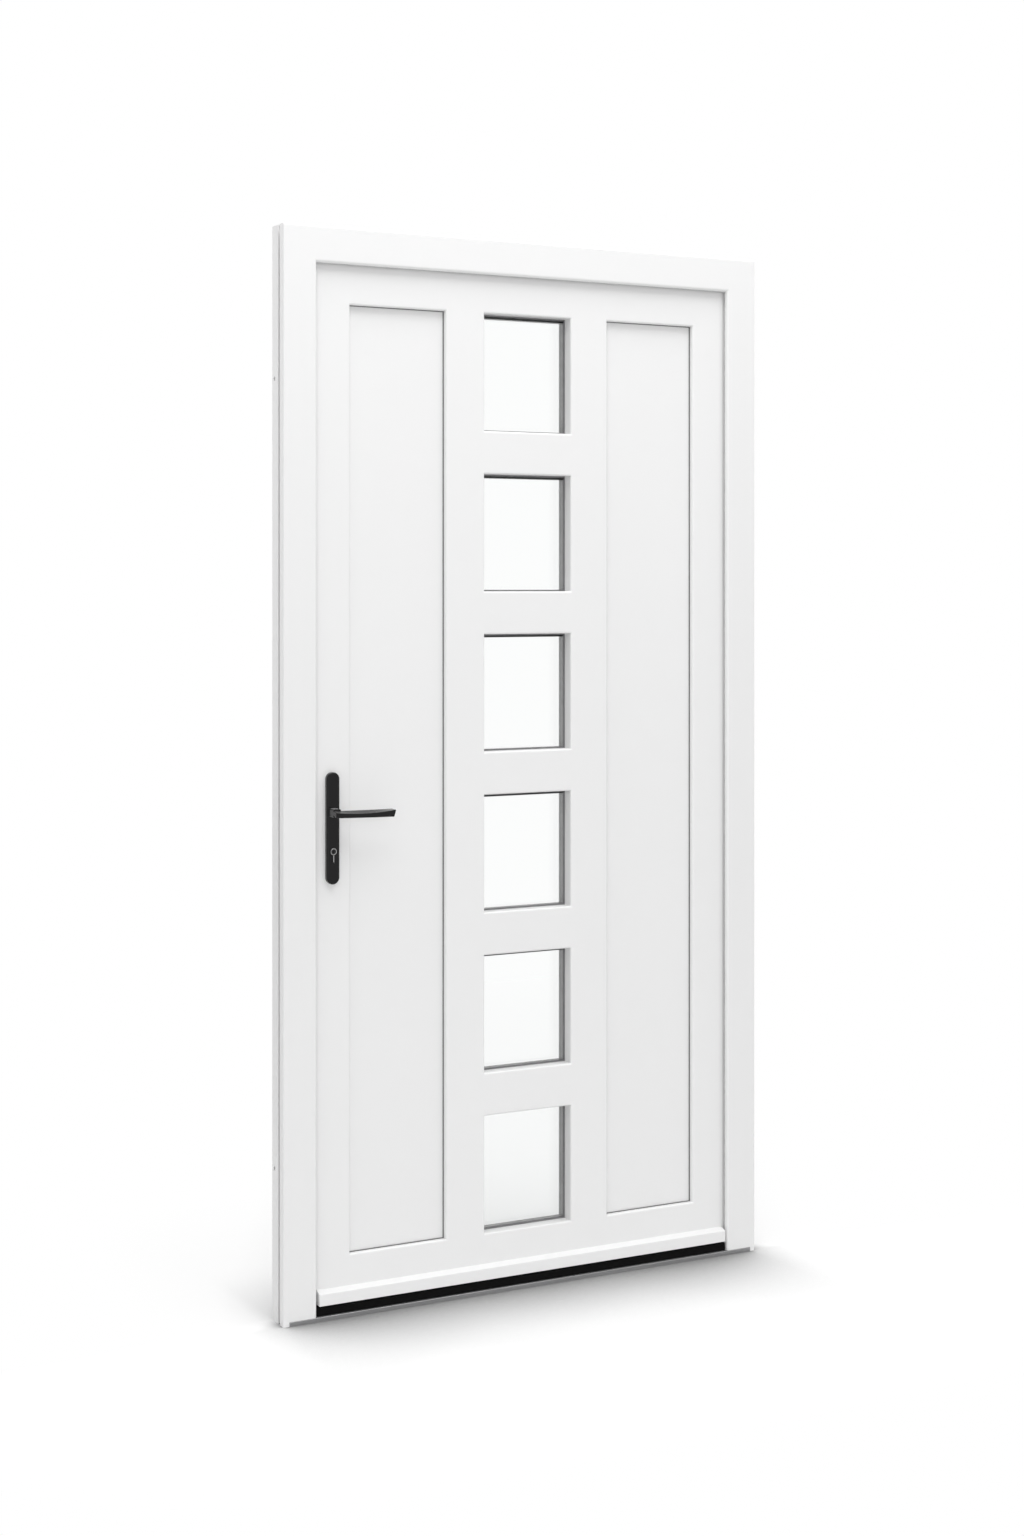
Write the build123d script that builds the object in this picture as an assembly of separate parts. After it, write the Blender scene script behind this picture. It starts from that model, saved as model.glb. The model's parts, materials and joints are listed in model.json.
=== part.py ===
"""Entrance door: a white framed leaf with six small panes between two tall panels.

Millimetres. +X to the right seen from outside, +Y inwards, +Z up.
The origin is the middle of the threshold's underside.
"""

import os

from build123d import *

# Frame
FRAME_W = 1100.0
FRAME_H = 2150.0
FRAME_D = 60.0
FRAME_FRONT = -FRAME_D / 2
FRAME_BACK = FRAME_D / 2
FRAME_OUTER_ROUND = 3.0
NOSE_W = 71.0           # how far the outside nose reaches in from the frame's outer side
NOSE_T = 9.0
NOSE_BACK = FRAME_FRONT + NOSE_T
REBATE_W = 42.0         # how far the part behind the nose reaches in
NOSE_ROUND = 5.5
GROOVE_BEHIND = 17.5    # mouth of the groove down the outer side, measured from the front
GROOVE_W = 10.5
GROOVE_LIP = 2.0
GROOVE_UNDER = 3.0      # how far the groove widens under each lip
GROOVE_DEPTH = 8.0
MITRE_REACH = 100.0
SEAL_T = 2.0
SEAL_IN = 0.8           # how far the seal shows past the nose
SEAL_HID = 8.0
SEAL_CUT = 0.2          # hairline where two seals meet
FIXING_R = 4.5
FIXING_IN = 46.0        # fixing screws, measured from the front
FIXING_END = 300.0
NOSE_EDGE = FRAME_W / 2 - NOSE_W
REBATE_EDGE = FRAME_W / 2 - REBATE_W

# Threshold
SILL_SHORT = 13.0       # how far it stops short of the frame's outer sides
SILL_END = FRAME_W / 2 - SILL_SHORT
SILL_PROUD = 1.5
SILL_FRONT = FRAME_FRONT - SILL_PROUD
SILL_T = 9.0
SILL_LIP = 5.0
SILL_ROUND = 1.2
SILL_RAIL_D = 22.0
SILL_RAIL_H = 15.0
SILL_RAIL_CLEAR = 3.0
SILL_RAIL_FRONT = FRAME_FRONT + SILL_LIP
SILL_RAIL_BACK = SILL_RAIL_FRONT + SILL_RAIL_D
SILL_RAIL_TOP = SILL_T + SILL_RAIL_H
SILL_STEP_H = 13.0
SILL_STEP_RISE = 3.0
SILL_STEP_SLOPE = 14.0

# Leaf
EDGE_ROUND = 4.0        # rounding of every outside edge beside an opening
LEAF_SETBACK = 16.5
LEAF_GAP = 12.0         # air around the leaf's edge inside the frame
LEAF_FOOT_GAP = 6.0
FLANGE_LAP = 24.0       # how far the inside flange reaches over the frame
FLANGE_GAP = 6.0
FLANGE_T = 10.5
FLANGE_ROUND = 3.0
LEAF_FACE = FRAME_FRONT + LEAF_SETBACK
FLANGE_FRONT = FRAME_BACK + FLANGE_GAP
LEAF_BACK = FLANGE_FRONT + FLANGE_T
MID_Y = (LEAF_FACE + LEAF_BACK) / 2
LEAF_EDGE = REBATE_EDGE - LEAF_GAP
LEAF_BOTTOM = SILL_RAIL_TOP + LEAF_FOOT_GAP
LEAF_TOP = FRAME_H - REBATE_W - LEAF_GAP
FLANGE_EDGE = LEAF_EDGE + FLANGE_LAP
FLANGE_TOP = LEAF_TOP + FLANGE_LAP

# Openings in the leaf, measured on its face
STILE_W = 91.0          # face of both stiles and the top rail
BOTTOM_RAIL_W = 85.0
BAR_W = 80.0            # face of every mullion and transom
PANE_W = 210.0
PANE_COUNT = 6
FACE_OUT = LEAF_EDGE - STILE_W
OPEN_BOTTOM = LEAF_BOTTOM + BOTTOM_RAIL_W
OPEN_TOP = LEAF_TOP - STILE_W
PANE_HALF = PANE_W / 2
PANE_H = (OPEN_TOP - OPEN_BOTTOM - (PANE_COUNT - 1) * BAR_W) / PANE_COUNT

# Glazing
REBATE = 12.0
PLAY = 2.0
GASKET_T = 2.0
PANEL_GASKET_IN = 1.6   # how far a gasket shows inside its opening
PANE_GASKET_IN = 3.0
SPACER_SIDE_IN = 1.0    # how far a spacer reaches inside its opening
SPACER_TOP_IN = 7.0
SPACER_FOOT_IN = 2.5
SPACER_OUT = 8.0
PANEL_RECESS = 13.0
GLASS_RECESS = 28.0
GLASS_T = 4.0
CAVITY = 16.0
BEAD_SLOPE = 5.0
PANEL_FACE = LEAF_FACE + PANEL_RECESS
GLASS_FACE = LEAF_FACE + GLASS_RECESS
GLASS_BACK = GLASS_FACE + 2 * GLASS_T + CAVITY

# Weather bar along the foot of the leaf, and the seal under it
DRIP_CLEAR = 6.5
DRIP_END = NOSE_EDGE - DRIP_CLEAR
DRIP_OUT = 17.5
DRIP_BELOW = 0.5
DRIP_FRONT_H = 23.5
DRIP_RISE = 4.8
DRIP_ROUND = 2.0
DRIP_LOW_ROUND = 1.0
SWEEP_T = 0.9
SWEEP_IN = 6.0
SWEEP_D = 34.0

# Lever set
BACKSET = 55.0
HANDLE_X = BACKSET - LEAF_EDGE
LEVER_Z = 996.4
PLATE_W = 27.0
PLATE_H = 221.2
PLATE_OVER = 79.5       # how far the plate stands above the lever's axis
PLATE_T = 10.0
PLATE_ROUND = 3.0
KEY_DROP = 76.8
KEY_Z = LEVER_Z - KEY_DROP
KEY_R = 6.8
KEY_TAIL_W = 5.2
KEY_TAIL = 21.3
KEY_PROUD = 0.8
KEY_GAP = 0.8           # air around the cylinder in the plate
KEY_SLOT_W = 1.6
KEY_SLOT_H = 7.0
KEY_SLOT_D = 3.0
SPINDLE = 8.0
SPINDLE_HOLE_R = 6.5
RUN_GAP = 0.3
NECK_LEFT = 10.0
NECK_RIGHT = 6.0
NECK_UP = 9.0
NECK_DOWN = 7.4
NECK_ROUND = 3.5
NECK_IN = 3.0           # how far the neck runs on into the grip
GRIP_OFF = 29.5         # from the leaf's face to the back of the grip
GRIP_D = 17.5
GRIP_ROUND = 1.5
GRIP_FRONT_ROUND = 0.9
GRIP_L = 119.5          # from the lever's axis to the tip
GRIP_BUTT = 10.0
GRIP_BUTT_UP = 5.8      # the grip's top edge at its back, from butt to tip
GRIP_MID_UP = 4.4
GRIP_TIP_UP = 4.8
GRIP_BUTT_FRONT = 3.3   # the hollow top's edge at the front
GRIP_MID_FRONT = -0.7
GRIP_TIP_FRONT = 4.2
GRIP_BUTT_DOWN = 7.6
GRIP_MID_DOWN = 9.4
GRIP_TIP_DOWN = 10.2
GRIP_TIP_SLANT = 4.5
GRIP_UNDER = 5.5        # how far the grip's underside rises from its front to its back

# Lock edge
FACEPLATE_W = 16.0
FACEPLATE_T = 3.0
FACEPLATE_END = 103.0
KEEP_T = 2.5
KEEP_W = 20.0
KEEP_H = 150.0
KEEP_END = 370.0
KEEP_SLOT_W = 12.0
KEEP_SLOT_H = 36.0
KEEP_SLOT_OFF = 32.0    # from the plate's middle to the middle of each slot
KEEP_POCKET_D = 14.0
KEEP_Z = (LEAF_BOTTOM + KEEP_END, LEVER_Z, LEAF_TOP - KEEP_END)

# Hinges, on the inside
PIN_OUT = 11.0          # from the flange's edge to the pin
PIN_OFF = 9.5           # from the leaf's inside face to the pin
PIN_X = FLANGE_EDGE + PIN_OUT
PIN_Y = LEAF_BACK + PIN_OFF
PIN_R = 4.0
PIN_SHORT = 2.0
KNUCKLE_R = 8.0
KNUCKLE_H = 45.0
KNUCKLE_GAP = 0.5
KNUCKLE_CAP = 1.0
HINGE_END = 218.0
FRAME_WING_CLEAR = 6.0
FRAME_WING_W = 22.0
FRAME_WING_T = 4.0
LEAF_WING_W = 46.0
LEAF_WING_T = 5.0
LEAF_ARM = 8.0
WING_H = 92.0
WING_ROUND = 1.5
HINGE_Z = (LEAF_BOTTOM + HINGE_END, (LEAF_BOTTOM + LEAF_TOP) / 2, LEAF_TOP - HINGE_END)


def box(x0, x1, y0, y1, z0, z1):
    """A block between two corners."""
    return Pos((x0 + x1) / 2, (y0 + y1) / 2, (z0 + z1) / 2) * Box(x1 - x0, y1 - y0, z1 - z0)


def slab(points, y0, y1):
    """An outline seen from outside, as (x, z), given depth from y0 to y1."""
    plane = Plane(origin=(0, y1, 0), x_dir=(1, 0, 0), z_dir=(0, -1, 0))
    return extrude(plane * make_face(Polyline(*points, close=True)), amount=y1 - y0)


def round_corner(face, at, radius):
    """Round the corner of a flat outline that lies nearest to a point."""
    corner = face.vertices().sort_by_distance((at[0], at[1], 0))[0]
    return fillet(corner, radius)


def y_rod(x, z, radius, y0, y1):
    """A round rod along Y."""
    return Pos(x, (y0 + y1) / 2, z) * Rot(90, 0, 0) * Cylinder(radius, y1 - y0)


def inside(shape):
    """The same piece on the inside of the leaf."""
    return mirror(shape, about=Plane(origin=(0, MID_Y, 0), x_dir=(1, 0, 0), z_dir=(0, 1, 0)))


def frame_section(place):
    """Section of the frame; place(u, y) maps reach-in and depth to sketch coordinates."""
    g0 = FRAME_FRONT + GROOVE_BEHIND
    g1 = g0 + GROOVE_W
    lip = GROOVE_LIP
    under = GROOVE_UNDER
    d = GROOVE_DEPTH
    points = [(0, FRAME_FRONT), (NOSE_W, FRAME_FRONT), (NOSE_W, NOSE_BACK), (REBATE_W, NOSE_BACK),
              (REBATE_W, FRAME_BACK), (0, FRAME_BACK), (0, g1), (lip, g1), (lip, g1 + under),
              (d, g1 + under), (d, g0 - under), (lip, g0 - under), (lip, g0), (0, g0)]
    face = make_face(Polyline(*[place(u, y) for u, y in points], close=True))
    face = round_corner(face, place(0, FRAME_FRONT), FRAME_OUTER_ROUND)
    face = round_corner(face, place(0, FRAME_BACK), FRAME_OUTER_ROUND)
    return round_corner(face, place(NOSE_W, FRAME_FRONT), NOSE_ROUND)


def head_region():
    """Everything above the two mitres at the frame's top corners."""
    half = FRAME_W / 2
    low = FRAME_H - MITRE_REACH
    points = [(-half, FRAME_H), (half, FRAME_H), (half - MITRE_REACH, low), (-half + MITRE_REACH, low)]
    return slab(points, FRAME_FRONT - 1, FRAME_BACK + 1)


def make_jamb(side):
    """One upright of the frame, notched over the threshold and drilled for its fixings."""
    half = FRAME_W / 2
    jamb = extrude(frame_section(lambda u, y: (side * (half - u), y)), amount=FRAME_H * side)
    if side < 0:
        jamb = Pos(0, 0, FRAME_H) * jamb
    jamb -= head_region()
    jamb -= box(-SILL_END, SILL_END, FRAME_FRONT - 1, FRAME_BACK + 1, -1, SILL_T)
    for z in (FIXING_END, FRAME_H - FIXING_END):
        hole = Rot(0, 90, 0) * Cylinder(FIXING_R, 4 * REBATE_W)
        jamb -= Pos(side * half, FRAME_FRONT + FIXING_IN, z) * hole
    if side < 0:
        for slot in keep_slots(REBATE_EDGE + KEEP_POCKET_D, REBATE_EDGE - 1):
            jamb -= slot
    return jamb


def make_head():
    """The top of the frame, mitred at both ends."""
    section = frame_section(lambda u, y: (y, FRAME_H - u))
    head = extrude(Plane.YZ.offset(-FRAME_W / 2) * section, amount=FRAME_W)
    return head & head_region()


def make_frame_seal():
    """Seals behind the nose: one up each jamb and one across the head."""
    out = NOSE_EDGE + SEAL_HID
    edge = NOSE_EDGE - SEAL_IN
    top = FRAME_H - NOSE_W + SEAL_HID
    low_top = FRAME_H - NOSE_W - SEAL_IN
    y0, y1 = NOSE_BACK, NOSE_BACK + SEAL_T
    strips = [box(-out, -edge, y0, y1, SILL_T, top), box(edge, out, y0, y1, SILL_T, top),
              box(-edge + SEAL_CUT, edge - SEAL_CUT, y0, y1, low_top, top)]
    return Compound(children=strips)


def make_threshold():
    """Aluminium plate on the ground, with a low step on the inside."""
    plate = box(-SILL_END, SILL_END, SILL_FRONT, FRAME_BACK, 0, SILL_T)
    lip = plate.edges().filter_by(Axis.X).filter_by(lambda e: e.center().Y < FRAME_FRONT)
    plate = fillet(lip.sort_by(Axis.Z)[-1], SILL_ROUND)
    top = SILL_T + SILL_STEP_H
    points = [(SILL_RAIL_BACK, 0), (FRAME_BACK, 0), (FRAME_BACK, SILL_T + SILL_STEP_RISE),
              (FRAME_BACK - SILL_STEP_SLOPE, top), (SILL_RAIL_BACK, top)]
    face = make_face(Polyline(*points, close=True))
    return plate + extrude(Plane.YZ.offset(-REBATE_EDGE) * face, amount=2 * REBATE_EDGE)


def make_threshold_rail():
    """Black rail standing on the threshold behind its front lip."""
    end = NOSE_EDGE - SILL_RAIL_CLEAR
    return box(-end, end, SILL_RAIL_FRONT, SILL_RAIL_BACK, SILL_T, SILL_RAIL_TOP)


def keep_slots(deep, shallow):
    """Blocks for the two slots of every keep plate, between two distances from the door's middle."""
    half = KEEP_SLOT_H / 2
    middles = [z + off for z in KEEP_Z for off in (-KEEP_SLOT_OFF, KEEP_SLOT_OFF)]
    return [box(-deep, -shallow, MID_Y - KEEP_SLOT_W / 2, MID_Y + KEEP_SLOT_W / 2, z - half, z + half)
            for z in middles]


def make_keeps():
    """Keep plates on the lock jamb, slotted for the bolts."""
    plates = []
    for z in KEEP_Z:
        plate = box(-REBATE_EDGE, KEEP_T - REBATE_EDGE, MID_Y - KEEP_W / 2, MID_Y + KEEP_W / 2,
                    z - KEEP_H / 2, z + KEEP_H / 2)
        for slot in keep_slots(REBATE_EDGE + 1, REBATE_EDGE - KEEP_T - 1):
            plate -= slot
        plates.append(plate.solid())
    return Compound(children=plates)


def panel_opening(side):
    """Clear opening of one tall panel."""
    a = PANE_HALF + BAR_W + EDGE_ROUND
    b = FACE_OUT - EDGE_ROUND
    x0, x1 = sorted((side * a, side * b))
    return x0, x1, OPEN_BOTTOM + EDGE_ROUND, OPEN_TOP - EDGE_ROUND


def pane_opening(number):
    """Clear opening of one pane, counted from the top."""
    top = OPEN_TOP - (number - 1) * (PANE_H + BAR_W)
    half = PANE_HALF - EDGE_ROUND
    return -half, half, top - PANE_H + EDGE_ROUND, top - EDGE_ROUND


PANELS = [panel_opening(-1), panel_opening(1)]
PANES = [pane_opening(n) for n in range(1, PANE_COUNT + 1)]


def grown(opening, by, y0, y1):
    """A block over an opening, larger by the same amount on every side."""
    x0, x1, z0, z1 = opening
    return box(x0 - by, x1 + by, y0, y1, z0 - by, z1 + by)


def rings(openings, out, inner, y0, y1):
    """One flat ring around each opening."""
    return Compound(children=[grown(o, out, y0, y1) - grown(o, -inner, y0 - 1, y1 + 1) for o in openings])


def make_leaf_blank():
    """The leaf's whole framework in one piece, before it is parted into its members."""
    body = box(-LEAF_EDGE, LEAF_EDGE, LEAF_FACE, LEAF_BACK, LEAF_BOTTOM, LEAF_TOP)
    flange = box(-FLANGE_EDGE, FLANGE_EDGE, FLANGE_FRONT, LEAF_BACK, LEAF_BOTTOM, FLANGE_TOP)
    rim = flange.edges().filter_by(lambda e: abs(e.center().Y - LEAF_BACK) < 0.01)
    rim = rim.filter_by(lambda e: e.center().Z > LEAF_BOTTOM + 1)
    blank = body + fillet(rim, FLANGE_ROUND)
    for openings, face in ((PANELS, PANEL_FACE), (PANES, GLASS_FACE)):
        for o in openings:
            blank -= grown(o, 0, LEAF_FACE - 1, LEAF_BACK + 1)
            blank -= grown(o, REBATE, face - GASKET_T, LEAF_BACK + 1)
    rims = blank.edges().filter_by(lambda e: abs(e.center().Y - LEAF_FACE) < 0.01)
    rims = rims.filter_by(lambda e: abs(e.center().X) < FACE_OUT)
    rims = rims.filter_by(lambda e: OPEN_BOTTOM < e.center().Z < OPEN_TOP)
    blank = fillet(rims, EDGE_ROUND)
    blank -= make_faceplate()
    blank -= y_rod(HANDLE_X, LEVER_Z, SPINDLE_HOLE_R, LEAF_FACE - 1, LEAF_BACK + 1)
    blank -= key_outline(RUN_GAP, LEAF_FACE - 1, LEAF_BACK + 1)
    return blank


def member_regions():
    """Where each member of the leaf lies, as an outline seen from outside."""
    out = FACE_OUT - EDGE_ROUND
    far = FLANGE_EDGE
    low = OPEN_BOTTOM + EDGE_ROUND
    high = OPEN_TOP - EDGE_ROUND
    bar = PANE_HALF - EDGE_ROUND
    bar_out = PANE_HALF + BAR_W + EDGE_ROUND
    base = LEAF_BOTTOM
    foot_x = out + low - base
    crown = FLANGE_TOP
    regions = {
        "top_rail": [(-far, crown), (far, crown), (out, high), (-out, high)],
        "bottom_rail": [(-foot_x, base), (foot_x, base), (out, low), (-out, low)],
        "lock_stile": [(-far, base), (-foot_x, base), (-out, low), (-out, high), (-far, crown)],
        "hinge_stile": [(far, base), (foot_x, base), (out, low), (out, high), (far, crown)],
        "left_mullion": [(-bar_out, low), (-bar, low), (-bar, high), (-bar_out, high)],
        "right_mullion": [(bar, low), (bar_out, low), (bar_out, high), (bar, high)],
    }
    for n in range(1, PANE_COUNT):
        top = PANES[n - 1][2]
        foot = PANES[n][3]
        regions[f"transom_{n}"] = [(-bar, foot), (bar, foot), (bar, top), (-bar, top)]
    return regions


def make_members():
    """Stiles, rails, mullions and transoms."""
    blank = make_leaf_blank()
    members = {}
    for name, outline in member_regions().items():
        members[name] = blank & slab(outline, LEAF_FACE - 5, LEAF_BACK + 5)
    return members


def make_panel(opening):
    """One tall insulated panel."""
    return grown(opening, REBATE - PLAY, PANEL_FACE, GLASS_BACK)


def make_pane(opening):
    """One sealed unit: two sheets of glass, a spacer's width apart."""
    sheets = [grown(opening, REBATE - PLAY, GLASS_FACE, GLASS_FACE + GLASS_T),
              grown(opening, REBATE - PLAY, GLASS_BACK - GLASS_T, GLASS_BACK)]
    return Compound(children=sheets)


def make_spacers():
    """Spacers between the sheets of glass; each unit sits low in its opening."""
    y0 = GLASS_FACE + GLASS_T
    y1 = GLASS_BACK - GLASS_T
    spacers = []
    for o in PANES:
        x0, x1, z0, z1 = o
        clear = box(x0 + SPACER_SIDE_IN, x1 - SPACER_SIDE_IN, y0 - 1, y1 + 1,
                    z0 + SPACER_FOOT_IN, z1 - SPACER_TOP_IN)
        spacers.append(grown(o, SPACER_OUT, y0, y1) - clear)
    return Compound(children=spacers)


def make_beads(openings):
    """Glazing beads on the inside, sloped towards the opening."""
    beads = []
    for o in openings:
        x0, x1, z0, z1 = o
        ring = grown(o, REBATE, GLASS_BACK, LEAF_BACK) - grown(o, 0, GLASS_BACK - 1, LEAF_BACK + 1)
        rim = ring.edges().filter_by(lambda e: abs(e.center().Y - LEAF_BACK) < 0.01)
        rim = rim.filter_by(lambda e: x0 - 1 < e.center().X < x1 + 1 and z0 - 1 < e.center().Z < z1 + 1)
        beads.append(chamfer(rim, BEAD_SLOPE))
    return Compound(children=beads)


def make_weather_bar():
    """Bar that throws rain clear of the threshold."""
    front = LEAF_FACE - DRIP_OUT
    z0 = LEAF_BOTTOM - DRIP_BELOW
    z1 = z0 + DRIP_FRONT_H
    points = [(LEAF_FACE, z0), (LEAF_FACE, z1 + DRIP_RISE), (front, z1), (front, z0)]
    face = make_face(Polyline(*points, close=True))
    face = round_corner(face, (front, z1), DRIP_ROUND)
    face = round_corner(face, (front, z0), DRIP_LOW_ROUND)
    return extrude(Plane.YZ.offset(-DRIP_END) * face, amount=2 * DRIP_END)


def make_sweep():
    """Seal under the leaf."""
    z0 = LEAF_BOTTOM - SWEEP_T
    y0 = LEAF_FACE + SWEEP_IN
    return box(-LEAF_EDGE, LEAF_EDGE, y0, y0 + SWEEP_D, z0, LEAF_BOTTOM)


def key_outline(grow, y0, y1):
    """Outline of the lock cylinder, as a rod through the leaf."""
    r = KEY_R + grow
    half = KEY_TAIL_W / 2 + grow
    foot = KEY_Z - KEY_TAIL - grow
    tail = box(HANDLE_X - half, HANDLE_X + half, y0, y1, foot, KEY_Z)
    return y_rod(HANDLE_X, KEY_Z, r, y0, y1) + tail


def make_cylinder():
    """Lock cylinder with a key slot at each end."""
    y0 = LEAF_FACE - PLATE_T - KEY_PROUD
    y1 = LEAF_BACK + PLATE_T + KEY_PROUD
    w = KEY_SLOT_W / 2
    h = KEY_SLOT_H / 2
    slot = box(HANDLE_X - w, HANDLE_X + w, y0 - 1, y0 + KEY_SLOT_D, KEY_Z - h, KEY_Z + h)
    return key_outline(0, y0, y1) - slot - inside(slot)


def make_plate():
    """Outside plate of the lever set."""
    middle = LEVER_Z + PLATE_OVER - PLATE_H / 2
    plane = Plane(origin=(HANDLE_X, LEAF_FACE, middle), x_dir=(0, 0, 1), z_dir=(0, -1, 0))
    plate = extrude(plane * SlotOverall(PLATE_H, PLATE_W), amount=PLATE_T)
    rim = plate.edges().filter_by(lambda e: abs(e.center().Y - (LEAF_FACE - PLATE_T)) < 0.01)
    plate = fillet(rim, PLATE_ROUND)
    plate -= y_rod(HANDLE_X, LEVER_Z, SPINDLE_HOLE_R, LEAF_FACE - PLATE_T - 1, LEAF_FACE + 1)
    return plate - key_outline(KEY_GAP, LEAF_FACE - PLATE_T - 1, LEAF_FACE + 1)


def grip_outline(butt, middle, tip, lift, y):
    """Outline of the bowed grip seen from outside: heights of its top edge, and its foot raised by lift."""
    top = [(-GRIP_BUTT, butt), (GRIP_L / 2, middle), (GRIP_L, tip)]
    low = [(GRIP_L - GRIP_TIP_SLANT, lift - GRIP_TIP_DOWN), (GRIP_L / 2, lift - GRIP_MID_DOWN),
           (-GRIP_BUTT, lift - GRIP_BUTT_DOWN)]
    outline = [ThreePointArc(*top), Line(top[-1], low[0]), ThreePointArc(*low), Line(low[-1], top[0])]
    face = make_face(outline)
    face = fillet(face.vertices(), GRIP_ROUND)
    plane = Plane(origin=(HANDLE_X, y, LEVER_Z), x_dir=(1, 0, 0), z_dir=(0, -1, 0))
    return plane * face


def make_lever():
    """Outside lever: a neck from the plate and a bowed grip."""
    start = LEAF_FACE - PLATE_T - RUN_GAP
    back = LEAF_FACE - GRIP_OFF
    front = back - GRIP_D
    neck = box(HANDLE_X - NECK_LEFT, HANDLE_X + NECK_RIGHT, back - NECK_IN, start,
               LEVER_Z - NECK_DOWN, LEVER_Z + NECK_UP)
    neck = fillet(neck.edges().filter_by(Axis.Y), NECK_ROUND)
    behind = grip_outline(GRIP_BUTT_UP, GRIP_MID_UP, GRIP_TIP_UP, GRIP_UNDER, back)
    before = grip_outline(GRIP_BUTT_FRONT, GRIP_MID_FRONT, GRIP_TIP_FRONT, 0, front)
    grip = loft([behind, before], ruled=True)
    rim = grip.edges().filter_by(lambda e: abs(e.center().Y - front) < 0.01)
    grip = fillet(rim, GRIP_FRONT_ROUND)
    return neck + grip


def make_spindle():
    """Square bar that joins the two levers through the leaf."""
    y0 = LEAF_FACE - PLATE_T - RUN_GAP
    y1 = LEAF_BACK + PLATE_T + RUN_GAP
    half = SPINDLE / 2
    return box(HANDLE_X - half, HANDLE_X + half, y0, y1, LEVER_Z - half, LEVER_Z + half)


def make_faceplate():
    """Steel strip let into the leaf's lock edge."""
    return box(-LEAF_EDGE, FACEPLATE_T - LEAF_EDGE, MID_Y - FACEPLATE_W / 2, MID_Y + FACEPLATE_W / 2,
               LEAF_BOTTOM + FACEPLATE_END, LEAF_TOP - FACEPLATE_END)


def wing_plate(x0, x1, y0, y1, z):
    """One hinge wing, rounded round its outer face."""
    wing = box(x0, x1, y0, y1, z - WING_H / 2, z + WING_H / 2)
    return fillet(wing.edges().filter_by(lambda e: abs(e.center().Y - y1) < 0.01), WING_ROUND)


def make_hinge_frame_halves():
    """Wings on the frame, each with a lower knuckle and the pin."""
    x0 = FLANGE_EDGE + FRAME_WING_CLEAR
    y1 = FRAME_BACK + FRAME_WING_T
    halves = []
    for z in HINGE_Z:
        wing = wing_plate(x0, x0 + FRAME_WING_W, FRAME_BACK, y1, z)
        arm = box(PIN_X, PIN_X + KNUCKLE_R, FRAME_BACK, PIN_Y, z - KNUCKLE_H, z)
        knuckle = Pos(PIN_X, PIN_Y, z - KNUCKLE_H / 2) * Cylinder(KNUCKLE_R, KNUCKLE_H)
        pin = Pos(PIN_X, PIN_Y, z + KNUCKLE_H / 2 - PIN_SHORT) * Cylinder(PIN_R, KNUCKLE_H)
        halves.append((wing + arm + knuckle + pin).solid())
    return Compound(children=halves)


def make_hinge_leaf_halves():
    """Wings on the leaf, each with an upper knuckle bored for the pin."""
    x1 = FLANGE_EDGE
    y1 = LEAF_BACK + LEAF_WING_T
    halves = []
    for z in HINGE_Z:
        wing = wing_plate(x1 - LEAF_WING_W, x1, LEAF_BACK, y1, z)
        low = z + KNUCKLE_GAP
        arm = box(x1 - LEAF_ARM, PIN_X, PIN_Y - KNUCKLE_R, y1, low, low + KNUCKLE_H)
        knuckle = Pos(PIN_X, PIN_Y, low + KNUCKLE_H / 2) * Cylinder(KNUCKLE_R, KNUCKLE_H)
        bore = Pos(PIN_X, PIN_Y, low + KNUCKLE_H / 2 - KNUCKLE_CAP) * Cylinder(PIN_R + RUN_GAP, KNUCKLE_H)
        halves.append((wing + arm + knuckle - bore).solid())
    return Compound(children=halves)


def make_all():
    """Every piece by name."""
    parts = {
        "lock_jamb": make_jamb(-1),
        "hinge_jamb": make_jamb(1),
        "head": make_head(),
        "frame_seal": make_frame_seal(),
        "threshold": make_threshold(),
        "threshold_rail": make_threshold_rail(),
        "keep_plates": make_keeps(),
        "hinge_frame_halves": make_hinge_frame_halves(),
        "left_panel": make_panel(PANELS[0]),
        "right_panel": make_panel(PANELS[1]),
        "panel_gaskets": rings(PANELS, REBATE - PLAY, PANEL_GASKET_IN, PANEL_FACE - GASKET_T, PANEL_FACE),
        "pane_gaskets": rings(PANES, REBATE - PLAY, PANE_GASKET_IN, GLASS_FACE - GASKET_T, GLASS_FACE),
        "pane_spacers": make_spacers(),
        "panel_beads": make_beads(PANELS),
        "pane_beads": make_beads(PANES),
        "weather_bar": make_weather_bar(),
        "bottom_seal": make_sweep(),
        "outer_plate": make_plate(),
        "inner_plate": inside(make_plate()),
        "lock_cylinder": make_cylinder(),
        "lock_faceplate": make_faceplate(),
        "hinge_leaf_halves": make_hinge_leaf_halves(),
        "outer_lever": make_lever(),
        "inner_lever": inside(make_lever()),
        "lever_spindle": make_spindle(),
    }
    for n, opening in enumerate(PANES, start=1):
        parts[f"pane_{n}"] = make_pane(opening)
    parts.update(make_members())
    return parts


os.makedirs("parts", exist_ok=True)
for name, shape in make_all().items():
    export_step(shape, f"parts/{name}.step")
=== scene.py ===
"""Entrance door: finishes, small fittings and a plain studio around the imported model.

Metres. +X to the right seen from outside, +Y inwards, +Z up.
"""

import json
import math

import bmesh
import bpy
from mathutils import Matrix, Vector

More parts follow.
